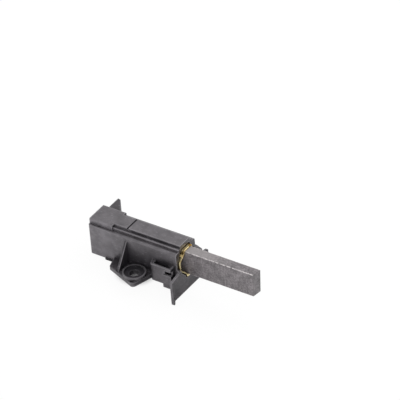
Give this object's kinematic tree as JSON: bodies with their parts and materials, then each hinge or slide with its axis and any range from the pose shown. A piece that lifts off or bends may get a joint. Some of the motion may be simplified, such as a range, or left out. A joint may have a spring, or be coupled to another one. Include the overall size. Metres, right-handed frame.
{
  "type": "carbon brush with holder",
  "caption": "Spring-loaded carbon brush sliding in a brass-lined black moulded holder with two screw ears and a front wing.",
  "frame": {"origin": "midway between the two screw holes, in the plane of the ears' undersides", "axes": "+X along the carbon and out of the mouth, +Z away from the seat through the raised panel, +Y to the side with the rear fin"},
  "size_m": [0.0883, 0.0415, 0.0254],
  "materials": {
    "black_moulding": "satin",
    "brass_sheet": "satin",
    "tinned_blade": "satin",
    "carbon_graphite": "matte",
    "spring_wire": "satin",
    "copper_braid": "satin"
  },
  "bodies": {
    "holder": {"housing": "black_moulding", "guide_sleeve": "brass_sheet", "terminal": "tinned_blade", "brush_spring": "spring_wire", "braid": "copper_braid"},
    "brush": {"carbon_brush": "carbon_graphite"}
  },
  "joints": [
    {"name": "brush_slide", "type": "slide", "parent": "holder", "child": "brush", "axis": [1, 0, 0], "range_m": [-0.028, 0], "stiffness_N_per_m": 100, "springref_m": 0.011, "deforming": ["brush_spring", "braid"]}
  ]
}
